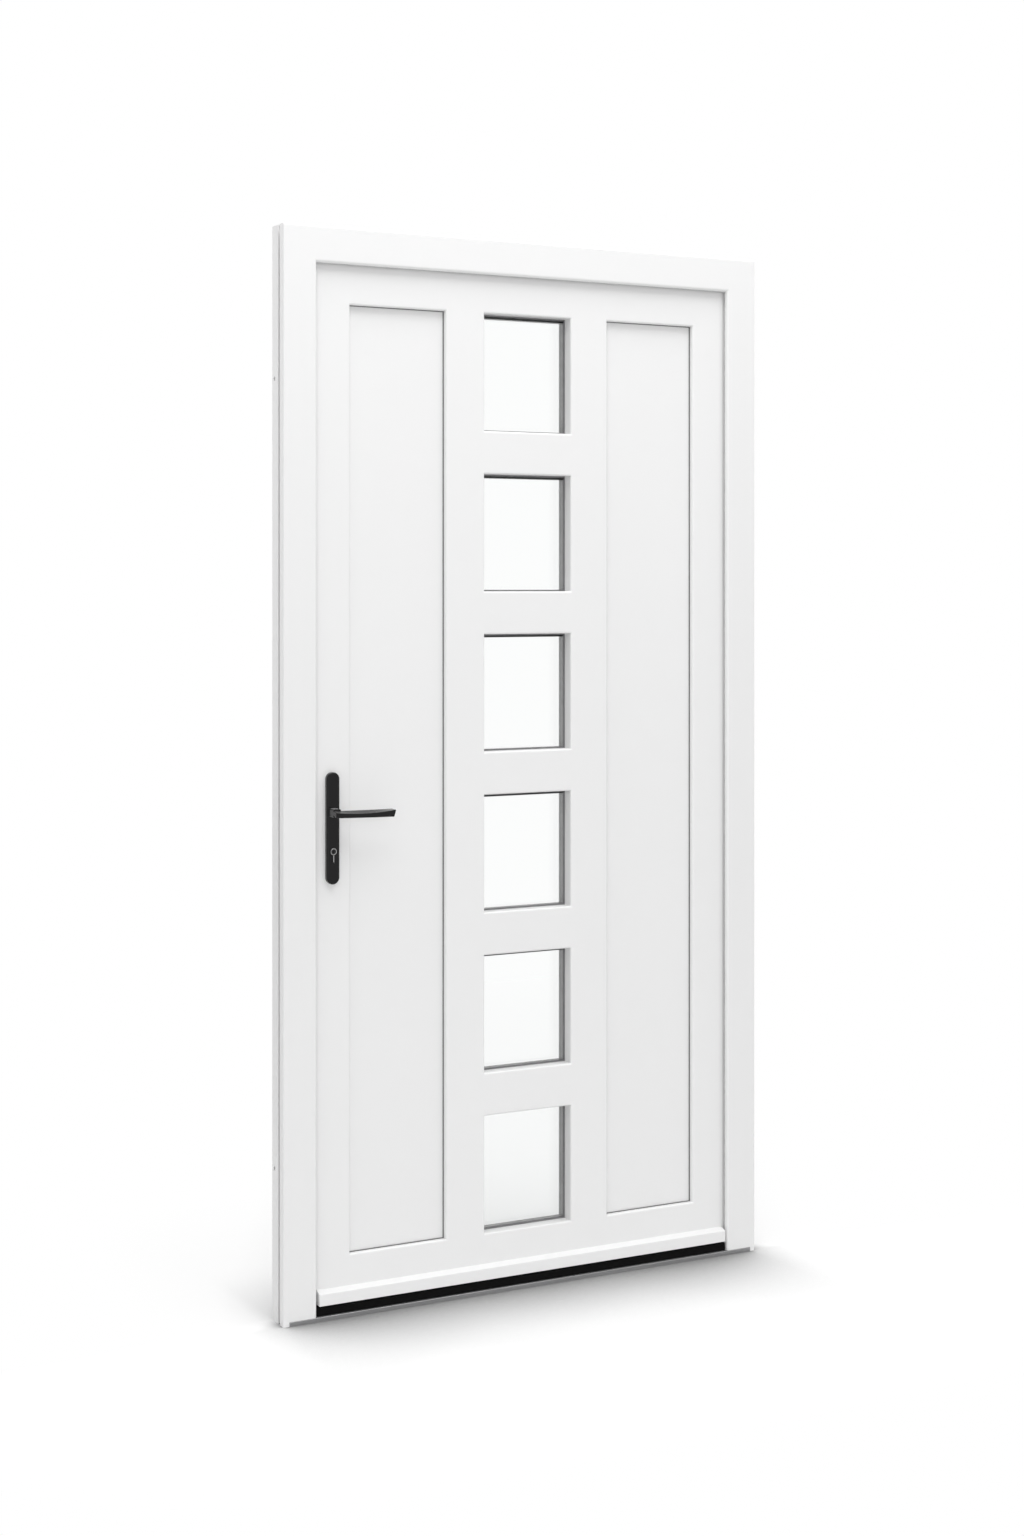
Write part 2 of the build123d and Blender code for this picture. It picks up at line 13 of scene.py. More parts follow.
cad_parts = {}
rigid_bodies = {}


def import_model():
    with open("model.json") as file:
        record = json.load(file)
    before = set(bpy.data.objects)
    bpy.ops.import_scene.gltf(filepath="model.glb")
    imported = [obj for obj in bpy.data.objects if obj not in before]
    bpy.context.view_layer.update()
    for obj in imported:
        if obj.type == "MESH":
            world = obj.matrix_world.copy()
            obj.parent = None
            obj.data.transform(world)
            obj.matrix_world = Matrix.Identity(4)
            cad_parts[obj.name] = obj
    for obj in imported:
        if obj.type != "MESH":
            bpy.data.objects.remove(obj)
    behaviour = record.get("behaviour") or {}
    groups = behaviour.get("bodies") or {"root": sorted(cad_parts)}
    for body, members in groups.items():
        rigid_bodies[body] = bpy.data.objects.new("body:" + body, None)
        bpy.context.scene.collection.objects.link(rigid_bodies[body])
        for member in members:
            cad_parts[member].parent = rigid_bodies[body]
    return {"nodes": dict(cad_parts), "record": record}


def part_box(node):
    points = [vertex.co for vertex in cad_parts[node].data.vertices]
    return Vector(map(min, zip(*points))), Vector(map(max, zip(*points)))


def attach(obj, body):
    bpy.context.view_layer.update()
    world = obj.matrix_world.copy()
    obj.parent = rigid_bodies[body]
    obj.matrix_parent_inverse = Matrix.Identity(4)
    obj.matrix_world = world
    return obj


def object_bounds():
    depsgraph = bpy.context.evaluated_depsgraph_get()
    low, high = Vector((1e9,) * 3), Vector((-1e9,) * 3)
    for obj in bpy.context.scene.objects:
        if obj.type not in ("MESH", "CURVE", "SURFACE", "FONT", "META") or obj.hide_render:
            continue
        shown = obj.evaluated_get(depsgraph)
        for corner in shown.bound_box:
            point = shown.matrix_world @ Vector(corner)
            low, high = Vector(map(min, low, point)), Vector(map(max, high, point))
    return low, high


for leftover in list(bpy.data.objects):
    bpy.data.objects.remove(leftover)
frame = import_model()
CAD_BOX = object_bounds()

bl_info = {
    "name": "Entrance door",
    "version": (1, 0, 0),
    "blender": (4, 5, 0),
    "location": "3D View > Sidebar > Door",
    "description": "Finishes and fittings of a glazed entrance door",
    "category": "Object",
}

MM = 0.001
NODES = frame["nodes"]
PROFILE_SLOTS = ("frame_white", "leaf_white")
SHARP = math.radians(35)    # edges bent more than this stay crisp
MERGE = 0.001 * MM
TURN_STEPS = 28
SUNK = 0.2 * MM             # how far a fitting is let into the face that carries it

# Hinges
WING_HALF = 46 * MM
FRAME_WING_T = 4 * MM
LEAF_WING_T = 5 * MM
KNUCKLE_R = 8 * MM
KNUCKLE_H = 45 * MM
KNUCKLE_GAP = 0.5 * MM

# Lock, keeps and cylinder
KEEP_HALF = 75 * MM
KEEP_SLOT_OFF = 32 * MM     # from a keep's middle to the middle of each slot
BOLT_HALF_W = 4.5 * MM
BOLT_HALF_H = 15 * MM
BOLT_SUNK = 1.0 * MM
BOLT_SOFT = 0.3 * MM
LATCH_SLOPE = 0.75          # share of the latch's reach that its slope takes off
PLUG_R = 6.4 * MM
TRIM_W = 1.15 * MM
WEB_HALF_W = 0.7 * MM
WEB_FOOT = 1.0 * MM         # from the cylinder's foot up to the web
WEB_DROP = 0.4 * MM         # from the cylinder's round part down to the web
WEB_SOFT = 0.15 * MM

# Weather bar and spacers
BAR_FRONT_H = 23.5 * MM
SPACER_LINE = (5.2 * MM, 6.4 * MM)      # from the spacer's middle to its rolled lines
SPACER_EDGE = 7.0 * MM

# Screws: on the wings, from the edge inwards and up from the hinge's middle
FRAME_WING_SCREWS = ((4.5 * MM, -34 * MM), (4.5 * MM, -14 * MM), (11 * MM, 16 * MM), (11 * MM, 36 * MM))
LEAF_WING_SCREWS = ((10 * MM, -32 * MM), (28 * MM, -32 * MM), (19 * MM, 0), (10 * MM, 32 * MM),
                    (28 * MM, 32 * MM))
PLATE_SCREW_IN = 15 * MM
FACEPLATE_SCREW_IN = 20 * MM
FACEPLATE_SCREW_Z = [0.62, 0.86, 1.2, 1.5]
KEEP_SCREW_OFF = 64 * MM
THRESHOLD_SCREW_X = (-0.43, -0.15, 0.15, 0.43)
THRESHOLD_SCREW_Y = 6.5 * MM

# Lights: place, point lit, and size
TOP_LIGHT = ((0.0, -1.2, 4.8), (0, -0.1, 0.8), (4.5, 3.0))
FRONT_LIGHT = ((-2.4, -4.6, 1.5), (0, 0, 1.1), (3.0, 3.0))
BACK_LIGHT = ((-1.5, 4.5, 2.0), (0, 0, 1.1), (3.0, 3.0))

# Floor, with a painted soft shadow close under the door
FLOOR_HALF = 30.0
FLOOR_CELLS = 8
FLOOR_BOUNCE = 0.8          # brightness of the floor to light that isn't seen plainly
FRONT_LINE = 0.02           # outwards from here the floor turns into the part in front
FRONT_FADE = 0.05
BEHIND_SQUEEZE = 3.0        # how much faster the shadow ends beside the door, behind its front
NEAR_START = 0.03           # the floor starts to melt into the background
NEAR_FADE = 0.27
NEAR_SHARE = 0.8
FAR_START = 0.3             # the floor melts away altogether
FAR_FADE = 0.6
END_FADE = 0.11
# Painted shadow on the floor: its depth behind the door's front, and what is added in front of it
PAINTED_SHADE_BEHIND = 0.45
PAINTED_SHADE_IN_FRONT = 1.1        # added to the shade behind
SHADE_SAMPLES = 16
CAST_LEAN = 0.52            # drift to the right of the front light's shadow, for each metre behind
CAST_LENGTH = 3.2
CAST_IN = 0.1
CAST_FADE = 0.25
CAST_DEPTH = 0.75


class DoorColours(bpy.types.PropertyGroup):
    """Colours of the door's finishes."""

    frame_white: bpy.props.FloatVectorProperty(
        name="Frame", description="White plastic of the fixed frame", subtype="COLOR", size=4,
        min=0, max=1, default=(0.84, 0.84, 0.84, 1))
    leaf_white: bpy.props.FloatVectorProperty(
        name="Leaf", description="White plastic of the leaf's profiles", subtype="COLOR", size=4,
        min=0, max=1, default=(0.85, 0.85, 0.85, 1))
    panel_white: bpy.props.FloatVectorProperty(
        name="Panels", description="Smooth white skin of the tall panels", subtype="COLOR", size=4,
        min=0, max=1, default=(0.85, 0.85, 0.85, 1))
    seal_pale: bpy.props.FloatVectorProperty(
        name="Frame seal", description="Rubber behind the frame's nose", subtype="COLOR", size=4,
        min=0, max=1, default=(0.5, 0.5, 0.5, 1))
    seal_grey: bpy.props.FloatVectorProperty(
        name="Panel gaskets", description="Rubber round the tall panels", subtype="COLOR", size=4,
        min=0, max=1, default=(0.14, 0.14, 0.14, 1))
    seal_dark: bpy.props.FloatVectorProperty(
        name="Glass gaskets", description="Rubber round the panes and under the leaf", subtype="COLOR",
        size=4, min=0, max=1, default=(0.18, 0.18, 0.185, 1))
    spacer_grey: bpy.props.FloatVectorProperty(
        name="Spacers", description="Bars between the sheets of glass", subtype="COLOR", size=4,
        min=0, max=1, default=(0.5, 0.5, 0.505, 1))
    lacquer_black: bpy.props.FloatVectorProperty(
        name="Lever set", description="Satin black lacquer of plates and levers", subtype="COLOR",
        size=4, min=0, max=1, default=(0.002, 0.002, 0.0022, 1))
    rail_black: bpy.props.FloatVectorProperty(
        name="Threshold rail", description="Matt black plastic of the rail", subtype="COLOR", size=4,
        min=0, max=1, default=(0.003, 0.003, 0.003, 1))
    threshold_grey: bpy.props.FloatVectorProperty(
        name="Threshold", description="Anodised aluminium of the threshold", subtype="COLOR", size=4,
        min=0, max=1, default=(0.34, 0.34, 0.345, 1))
    steel_grey: bpy.props.FloatVectorProperty(
        name="Steel", description="Lock and screws", subtype="COLOR", size=4,
        min=0, max=1, default=(0.45, 0.45, 0.45, 1))
    nickel_dark: bpy.props.FloatVectorProperty(
        name="Cylinder", description="Dark nickel of the lock cylinder", subtype="COLOR", size=4,
        min=0, max=1, default=(0.035, 0.035, 0.035, 1))
    glass_tint: bpy.props.FloatVectorProperty(
        name="Glass", description="Tint of the glass", subtype="COLOR", size=4,
        min=0, max=1, default=(0.985, 0.99, 0.988, 1))


class DoorFittings(bpy.types.PropertyGroup):
    """Sizes of the small fittings."""

    screw_radius: bpy.props.FloatProperty(
        name="Screw", description="Radius of a screw's head", unit="LENGTH", default=3.2 * MM)
    screw_height: bpy.props.FloatProperty(
        name="Screw height", description="How far a round head stands proud", unit="LENGTH",
        default=1.4 * MM)
    flush_height: bpy.props.FloatProperty(
        name="Flush screw", description="How far a sunk head stands proud", unit="LENGTH",
        default=0.4 * MM)
    cap_height: bpy.props.FloatProperty(
        name="Hinge cap", description="Height of the cap at each end of a hinge", unit="LENGTH",
        default=5.0 * MM)
    latch_proud: bpy.props.FloatProperty(
        name="Latch", description="How far the latch stands out of the faceplate", unit="LENGTH",
        default=3.0 * MM)
    bolt_proud: bpy.props.FloatProperty(
        name="Bolts", description="How far the drawn bolts stand out of the faceplate", unit="LENGTH",
        default=0.8 * MM)
    trim_proud: bpy.props.FloatProperty(
        name="Cylinder trim", description="Height of the bright rim on the cylinder", unit="LENGTH",
        default=0.5 * MM)
    bar_cap: bpy.props.FloatProperty(
        name="Bar caps", description="Thickness of the caps on the weather bar", unit="LENGTH",
        default=1.0 * MM)


class DoorStage(bpy.types.PropertyGroup):
    """Studio around the door."""

    camera_place: bpy.props.FloatVectorProperty(
        name="Camera", description="Where the camera stands", subtype="XYZ", unit="LENGTH",
        default=(-2.209, -4.119, 1.442))
    camera_turn: bpy.props.FloatProperty(
        name="Turn", description="How far the level camera looks to its right of straight on",
        unit="ROTATION", default=math.radians(27.87))
    camera_lens: bpy.props.FloatProperty(
        name="Lens", description="Focal length in millimetres on a 36 mm long side", default=52.9)
    camera_drop: bpy.props.FloatProperty(
        name="Drop", description="Shift of the picture below the horizon", default=-0.1181)
    sky_strength: bpy.props.FloatProperty(
        name="Sky", description="Even light from all round", default=0.575)
    top_power: bpy.props.FloatProperty(
        name="Top light", description="Power of the soft light overhead in watts", default=144.0)
    front_power: bpy.props.FloatProperty(
        name="Front light", description="Power of the soft light in front in watts", default=32.0)
    back_power: bpy.props.FloatProperty(
        name="Back light", description="Power of the soft light behind in watts", default=20.0)
    shadow_reach: bpy.props.FloatProperty(
        name="Shadow", description="How far the soft shadow spreads over the floor", unit="LENGTH",
        default=0.34)


class Field:
    """A shader number that takes part in Python sums."""

    def __init__(self, graph, socket):
        self.graph = graph
        self.socket = socket

    def _sum(self, operation, first, second):
        made = self.graph.node("ShaderNodeMath", {"operation": operation}, {0: first, 1: second})
        return Field(self.graph, made.outputs[0])

    def __add__(self, other):
        return self._sum("ADD", self, other)

    def __radd__(self, other):
        return self._sum("ADD", other, self)

    def __sub__(self, other):
        return self._sum("SUBTRACT", self, other)

    def __rsub__(self, other):
        return self._sum("SUBTRACT", other, self)

    def __mul__(self, other):
        return self._sum("MULTIPLY", self, other)

    def __rmul__(self, other):
        return self._sum("MULTIPLY", other, self)

    def __truediv__(self, other):
        return self._sum("DIVIDE", self, other)

    def __abs__(self):
        return self._sum("ABSOLUTE", self, 0)

    def above(self, limit):
        """1 where the value is over the limit, else 0."""
        return self._sum("GREATER_THAN", self, limit)

    def below(self, limit):
        """1 where the value is under the limit, else 0."""
        return self._sum("LESS_THAN", self, limit)

    def at_most(self, limit):
        """The smaller of the value and the limit."""
        return self._sum("MINIMUM", self, limit)

    def at_least(self, limit):
        """The larger of the value and the limit."""
        return self._sum("MAXIMUM", self, limit)


class Graph:
    """The nodes of one material or world."""

    def __init__(self, owner, kind):
        owner.use_nodes = True
        self.tree = owner.node_tree
        self.tree.nodes.clear()
        self.output = self.tree.nodes.new(kind)

    def node(self, kind, settings=None, sockets=None):
        """Add a node: its settings first, then the values or links of its sockets."""
        made = self.tree.nodes.new(kind)
        for key, value in (settings or {}).items():
            setattr(made, key, value)
        for key, value in (sockets or {}).items():
            if isinstance(value, Field):
                self.tree.links.new(value.socket, made.inputs[key])
            else:
                made.inputs[key].default_value = value
        return made

    def field(self, kind, settings=None, sockets=None, output=0):
        """Add a node and give back one of its outputs."""
        return Field(self, self.node(kind, settings, sockets).outputs[output])

    def place(self, stretch=(1, 1, 1)):
        """The point on the object, stretched."""
        point = self.field("ShaderNodeTexCoord", output="Object")
        return self.field("ShaderNodeMapping", sockets={"Vector": point, "Scale": stretch})

    def axes(self):
        """The point's three coordinates."""
        point = self.field("ShaderNodeTexCoord", output="Object")
        split = self.node("ShaderNodeSeparateXYZ", sockets={0: point})
        return [Field(self, out) for out in split.outputs]

    def noise(self, scale, detail=2.0, stretch=(1, 1, 1)):
        """Even noise between 0 and 1, with so many features per metre."""
        return self.field("ShaderNodeTexNoise", sockets={
            "Vector": self.place(stretch), "Scale": scale, "Detail": detail, "Roughness": 0.55})

    def mix(self, factor, first, second):
        """One colour turning into another."""
        return self.field("ShaderNodeMix", {"data_type": "RGBA"}, {0: factor, 6: first, 7: second}, 2)

    def bump(self, height, distance, strength):
        """A normal from a height in units of distance."""
        return self.field("ShaderNodeBump", sockets={
            "Height": height, "Distance": distance, "Strength": strength})

    def surface(self, **sockets):
        """Finish with one surface shader."""
        named = {key.replace("_", " "): value for key, value in sockets.items()}
        shader = self.node("ShaderNodeBsdfPrincipled", sockets=named)
        self.tree.links.new(shader.outputs[0], self.output.inputs["Surface"])


def shade(colour, by):
    """A colour made lighter or darker."""
    return (*[min(1.0, max(0.0, c * by)) for c in colour[:3]], 1.0)


def material(name):
    """A new material and its graph."""
    made = bpy.data.materials.new(name)
    return made, Graph(made, "ShaderNodeOutputMaterial")


def white_plastic(name, colour, rough, drawn):
    """Extruded white plastic: faint lines along the profile under a satin skin."""
    made, g = material(name)
    cloud = g.noise(2.3, 3.0)
    lines = g.noise(380.0, 3.0, drawn)
    peel = g.noise(420.0, 2.0)
    colour_here = g.mix(0.7 * cloud + 0.3 * lines, shade(colour, 0.985), shade(colour, 1.01))
    g.surface(Base_Color=colour_here, Roughness=rough - 0.06 + 0.06 * g.noise(14.0, 4.0) + 0.06 * lines,
              Normal=g.bump(0.5 * peel + 0.5 * lines, 0.00006, 0.35))
    return made


def smooth_skin(name, colour, rough):
    """Flat white sheet with a faint orange peel."""
    made, g = material(name)
    cloud = g.noise(1.7, 3.0)
    peel = g.noise(260.0, 2.0)
    g.surface(Base_Color=g.mix(cloud, shade(colour, 0.985), shade(colour, 1.01)),
              Roughness=rough - 0.04 + 0.08 * g.noise(9.0, 4.0), Normal=g.bump(peel, 0.00008, 0.35))
    return made


def seal_rubber(name, colour):
    """Extruded rubber with a dry bloom."""
    made, g = material(name)
    bloom = g.noise(60.0, 5.0)
    g.surface(Base_Color=g.mix(bloom, shade(colour, 0.75), shade(colour, 1.4)),
              Roughness=0.62 + 0.16 * bloom, Normal=g.bump(g.noise(1500.0, 2.0), 0.00008, 0.5))
    return made


def spacer_bar(name, colour):
    """Grey spacer with a rolled line near each sheet of glass."""
    made, g = material(name)
    low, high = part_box("pane_spacers")
    depth = g.axes()[1]
    middle = (low.y + high.y) / 2
    from_middle = abs(depth - middle)
    line = from_middle.above(SPACER_LINE[0]) * from_middle.below(SPACER_LINE[1])
    edge = from_middle.above(SPACER_EDGE)
    tone = g.mix((line + edge).at_most(1.0), colour, shade(colour, 0.6))
    g.surface(Base_Color=tone, Roughness=0.45 + 0.1 * g.noise(300.0), Metallic=0.3)
    return made


def anodised(name, colour):
    """Drawn aluminium with fine streaks along the threshold."""
    made, g = material(name)
    streak = g.noise(220.0, 5.0, (0.02, 1, 1))
    g.surface(Base_Color=g.mix(streak, shade(colour, 0.86), shade(colour, 1.12)), Metallic=0.75,
              Roughness=0.3 + 0.16 * streak, Normal=g.bump(streak, 0.00006, 0.5))
    return made


def black_rail(name, colour):
    """Matt black plastic with a fine grain."""
    made, g = material(name)
    grain = g.noise(900.0, 3.0)
    g.surface(Base_Color=g.mix(grain, shade(colour, 0.7), shade(colour, 1.5)),
              Roughness=0.6 + 0.15 * grain, Specular_IOR_Level=0.1, Normal=g.bump(grain, 0.0001, 0.5))
    return made


def black_lacquer(name, colour):
    """Satin black powder coat."""
    made, g = material(name)
    grain = g.noise(1600.0, 2.0)
    cloud = g.noise(25.0, 3.0)
    g.surface(Base_Color=g.mix(cloud, shade(colour, 0.85), shade(colour, 1.2)),
              Roughness=0.1 + 0.08 * cloud, Specular_IOR_Level=0.25, Sheen_Weight=1.0,
              Sheen_Roughness=0.25, Normal=g.bump(grain, 0.00004, 0.5))
    return made


def brushed_steel(name, colour):
    """Brushed steel, streaked upright."""
    made, g = material(name)
    streak = g.noise(500.0, 4.0, (1, 1, 0.03))
    g.surface(Base_Color=g.mix(streak, shade(colour, 0.8), shade(colour, 1.15)), Metallic=1.0,
              Roughness=0.28 + 0.18 * streak, Normal=g.bump(streak, 0.00004, 0.5))
    return made


def clear_glass(name, colour):
    """Clear float glass with the faintest film."""
    made, g = material(name)
    film = g.noise(6.0, 3.0)
    g.surface(Base_Color=tuple(colour), Roughness=0.012 * film, IOR=1.45, Transmission_Weight=1.0)
    return made


def finish(slot, across=False):
    """The material of one of the record's slots, made on first use; across for level profiles."""
    name = f"door_{slot}_across" if across else f"door_{slot}"
    if name in bpy.data.materials:
        return bpy.data.materials[name]
    tone = bpy.context.scene.door_colours
    drawn = (0.02, 1, 1) if across else (1, 1, 0.02)
    makers = {
        "frame_white": lambda: white_plastic(name, tone.frame_white, 0.34, drawn),
        "leaf_white": lambda: white_plastic(name, tone.leaf_white, 0.34, drawn),
        "panel_white": lambda: smooth_skin(name, tone.panel_white, 0.4),
        "hinge_white": lambda: smooth_skin(name, tone.frame_white, 0.3),
        "pale_seal": lambda: seal_rubber(name, tone.seal_pale),
        "grey_seal": lambda: seal_rubber(name, tone.seal_grey),
        "dark_seal": lambda: seal_rubber(name, tone.seal_dark),
        "dark_nickel": lambda: brushed_steel(name, tone.nickel_dark),
        "spacer": lambda: spacer_bar(name, tone.spacer_grey),
        "threshold_alu": lambda: anodised(name, tone.threshold_grey),
        "black_plastic": lambda: black_rail(name, tone.rail_black),
        "handle_black": lambda: black_lacquer(name, tone.lacquer_black),
        "steel": lambda: brushed_steel(name, tone.steel_grey),
        "glass": lambda: clear_glass(name, tone.glass_tint),
    }
    return makers[slot]()


class DOOR_OT_dress(bpy.types.Operator):
    """Give every node of the frame, leaf and lever set its finish"""

    bl_idname = "door.dress"
    bl_label = "Dress the nodes"

    def execute(self, context):
        slots = {part["node"]: part["material_slot"] for part in frame["record"]["subparts"]}
        for name, node in NODES.items():
            level = slots[name] in PROFILE_SLOTS and wider_than_high(name)
            node.material_slots[0].material = finish(slots[name], level)
        return {"FINISHED"}


def wider_than_high(name):
    """Whether a node lies level, as a rail does."""
    low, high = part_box(name)
    return high.x - low.x > high.z - low.z


def piece(name, bm, body, slot):
    """Close a mesh, shade it, and let it ride on a body with the finish of a slot."""
    bmesh.ops.remove_doubles(bm, verts=bm.verts, dist=MERGE)
    bmesh.ops.recalc_face_normals(bm, faces=bm.faces)
    for face in bm.faces:
        face.smooth = True
    for edge in bm.edges:
        edge.smooth = edge.calc_face_angle(0.0) < SHARP
    mesh = bpy.data.meshes.new(name)
    bm.to_mesh(mesh)
    bm.free()
    mesh.materials.append(finish(slot))
    made = bpy.data.objects.new(name, mesh)
    bpy.context.scene.collection.objects.link(made)
    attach(made, body)


def turned(bm, profile, at, out, closed=False):
    """Turn a profile of (radius, height) about a line that leaves a face."""
    before = set(bm.verts)
    points = [bm.verts.new((radius, 0, height)) for radius, height in profile]
    pairs = list(zip(points, points[1:])) + ([(points[-1], points[0])] if closed else [])
    lines = [bm.edges.new(pair) for pair in pairs]
    bmesh.ops.spin(bm, geom=points + lines, cent=(0, 0, 0), axis=(0, 0, 1), angle=2 * math.pi,
                   steps=TURN_STEPS, use_merge=True)
    lean = Vector((0, 0, 1)).rotation_difference(Vector(out)).to_matrix().to_4x4()
    new = [vert for vert in bm.verts if vert not in before]
    bmesh.ops.transform(bm, matrix=Matrix.Translation(at) @ lean, verts=new)


def screw(bm, at, out, radius, height):
    """A domed screw head with a socket, sunk a little into its face."""
    turned(bm, [(0, -SUNK), (radius, -SUNK), (radius, 0.35 * height), (0.86 * radius, 0.8 * height),
                (0.6 * radius, height), (0.46 * radius, height), (0.4 * radius, 0.25 * height),
                (0, 0.2 * height)], at, out)


def block(bm, low, high, soft):
    """A block between two corners, with softened edges."""
    low, high = Vector(low), Vector(high)
    size = Matrix.Diagonal((*(high - low), 1))
    made = bmesh.ops.create_cube(bm, size=1, matrix=Matrix.Translation((low + high) / 2) @ size)
    edges = list({edge for vert in made["verts"] for edge in vert.link_edges})
    bmesh.ops.bevel(bm, geom=edges, offset=soft, segments=3, profile=0.5, affect="EDGES", material=-1)


def hinge_heights():
    """Middle height of each hinge."""
    low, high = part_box("hinge_frame_halves")
    first, last = low.z + WING_HALF, high.z - WING_HALF
    return first, (first + last) / 2, last


def keep_heights():
    """Middle height of each keep plate."""
    low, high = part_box("keep_plates")
    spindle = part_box("lever_spindle")
    return low.z + KEEP_HALF, (spindle[0].z + spindle[1].z) / 2, high.z - KEEP_HALF


class DOOR_OT_screws(bpy.types.Operator):
    """Screws of the hinges, plates, lock, keeps and threshold"""

    bl_idname = "door.screws"
    bl_label = "Fit the screws"

    def execute(self, context):
        sizes = context.scene.door_fittings
        self.group("hinge_frame_screws", "frame", "steel", (0, 1, 0), sizes.screw_height, self.on_frame())
        self.group("hinge_leaf_screws", "leaf", "steel", (0, 1, 0), sizes.screw_height, self.on_leaf())
        self.group("plate_screws", "leaf", "handle_black", (0, 1, 0), sizes.screw_height, self.on_plate())
        self.group("faceplate_screws", "leaf", "steel", (-1, 0, 0), sizes.flush_height, self.on_faceplate())
        self.group("keep_screws", "frame", "steel", (1, 0, 0), sizes.flush_height, self.on_keeps())
        self.group("threshold_screws", "frame", "steel", (0, 0, 1), sizes.flush_height, self.on_threshold())
        return {"FINISHED"}

    def group(self, name, body, slot, out, height, places):
        """One piece from like screws."""
        radius = bpy.context.scene.door_fittings.screw_radius
        bm = bmesh.new()
        for at in places:
            screw(bm, at, out, radius, height)
        piece(name, bm, body, slot)

    def on_frame(self):
        """Two beside each lower knuckle and two above it."""
        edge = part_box("hinge_frame_halves")[1].x
        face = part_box("hinge_jamb")[1].y + FRAME_WING_T
        return [(edge - inwards, face, z + up) for z in hinge_heights()
                for inwards, up in FRAME_WING_SCREWS]

    def on_leaf(self):
        """Five on each wing, as on a die."""
        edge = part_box("hinge_leaf_halves")[0].x
        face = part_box("hinge_stile")[1].y + LEAF_WING_T
        return [(edge + inwards, face, z + up) for z in hinge_heights()
                for inwards, up in LEAF_WING_SCREWS]

    def on_plate(self):
        """One near each end of the inside plate."""
        low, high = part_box("inner_plate")
        middle = (low.x + high.x) / 2
        return [(middle, high.y, z) for z in (low.z + PLATE_SCREW_IN, high.z - PLATE_SCREW_IN)]

    def on_faceplate(self):
        """Down the faceplate."""
        low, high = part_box("lock_faceplate")
        ends = [low.z + FACEPLATE_SCREW_IN, high.z - FACEPLATE_SCREW_IN]
        return [(low.x, (low.y + high.y) / 2, z) for z in ends + FACEPLATE_SCREW_Z]

    def on_keeps(self):
        """Three in each keep plate."""
        low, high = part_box("keep_plates")
        return [(high.x, (low.y + high.y) / 2, z + up) for z in keep_heights()
                for up in (-KEEP_SCREW_OFF, 0, KEEP_SCREW_OFF)]

    def on_threshold(self):
        """Along the inside step."""
        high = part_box("threshold")[1]
        return [(x, THRESHOLD_SCREW_Y, high.z) for x in THRESHOLD_SCREW_X]


class DOOR_OT_hinge_caps(bpy.types.Operator):
    """Turned caps at the ends of every hinge"""

    bl_idname = "door.hinge_caps"
    bl_label = "Cap the hinges"

    def execute(self, context):
        height = context.scene.door_fittings.cap_height
        pin = Vector(frame["record"]["behaviour"]["joints"][0]["pos_m"])
        r = KNUCKLE_R
        profile = [(0, -SUNK), (r, -SUNK), (r, 0.25 * height), (0.93 * r, 0.32 * height),
                   (0.93 * r, 0.4 * height), (r, 0.47 * height), (0.97 * r, 0.66 * height),
                   (0.84 * r, 0.84 * height), (0.55 * r, 0.96 * height), (0, height)]
        for name, body, out, reach in (("hinge_caps_lower", "frame", -1, KNUCKLE_H),
                                       ("hinge_caps_upper", "leaf", 1, KNUCKLE_H + KNUCKLE_GAP)):
            bm = bmesh.new()
            for z in hinge_heights():
                turned(bm, profile, (pin.x, pin.y, z + out * reach), (0, 0, out))
            piece(name, bm, body, "hinge_white")
        return {"FINISHED"}


class DOOR_OT_bolts(bpy.types.Operator):
    """Latch and drawn bolts in the leaf's lock edge"""

    bl_idname = "door.bolts"
    bl_label = "Fit latch and bolts"

    def execute(self, context):
        sizes = context.scene.door_fittings
        low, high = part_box("lock_faceplate")
        middle = (low.y + high.y) / 2
        bm = bmesh.new()
        slots = [(at, off) for at in range(3) for off in (-KEEP_SLOT_OFF, KEEP_SLOT_OFF)]
        for at, off in slots:
            z = keep_heights()[at] + off
            is_latch = at == 1 and off > 0
            proud = sizes.latch_proud if is_latch else sizes.bolt_proud
            before = set(bm.verts)
            block(bm, (low.x - proud, middle - BOLT_HALF_W, z - BOLT_HALF_H),
                  (low.x + BOLT_SUNK, middle + BOLT_HALF_W, z + BOLT_HALF_H), BOLT_SOFT)
            if is_latch:
                tongue = [v for v in bm.verts if v not in before and v.co.y < middle and v.co.x < low.x]
                bmesh.ops.translate(bm, verts=tongue, vec=(LATCH_SLOPE * proud, 0, 0))
        piece("lock_bolts", bm, "leaf", "steel")
        return {"FINISHED"}


class DOOR_OT_cylinder_trim(bpy.types.Operator):
    """Bright rim and web on both ends of the lock cylinder"""

    bl_idname = "door.cylinder_trim"
    bl_label = "Trim the cylinder"

    def execute(self, context):
        proud = context.scene.door_fittings.trim_proud
        low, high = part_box("lock_cylinder")
        r = (high.x - low.x) / 2
        x, z = (low.x + high.x) / 2, high.z - r
        inner = PLUG_R - TRIM_W
        rim = [(inner, -SUNK), (inner, 0.6 * proud), (inner + 0.2 * TRIM_W, proud),
               (PLUG_R - 0.2 * TRIM_W, proud), (PLUG_R, 0.6 * proud), (PLUG_R, -SUNK)]
        for name, out, face in (("cylinder_trim_outer", -1, low.y), ("cylinder_trim_inner", 1, high.y)):
            bm = bmesh.new()
            turned(bm, rim, (x, face, z), (0, out, 0), closed=True)
            y0, y1 = sorted((face - out * SUNK, face + out * proud))
            block(bm, (x - WEB_HALF_W, y0, low.z + WEB_FOOT), (x + WEB_HALF_W, y1, z - r - WEB_DROP),
                  WEB_SOFT)
            piece(name, bm, "leaf", "steel")
        return {"FINISHED"}


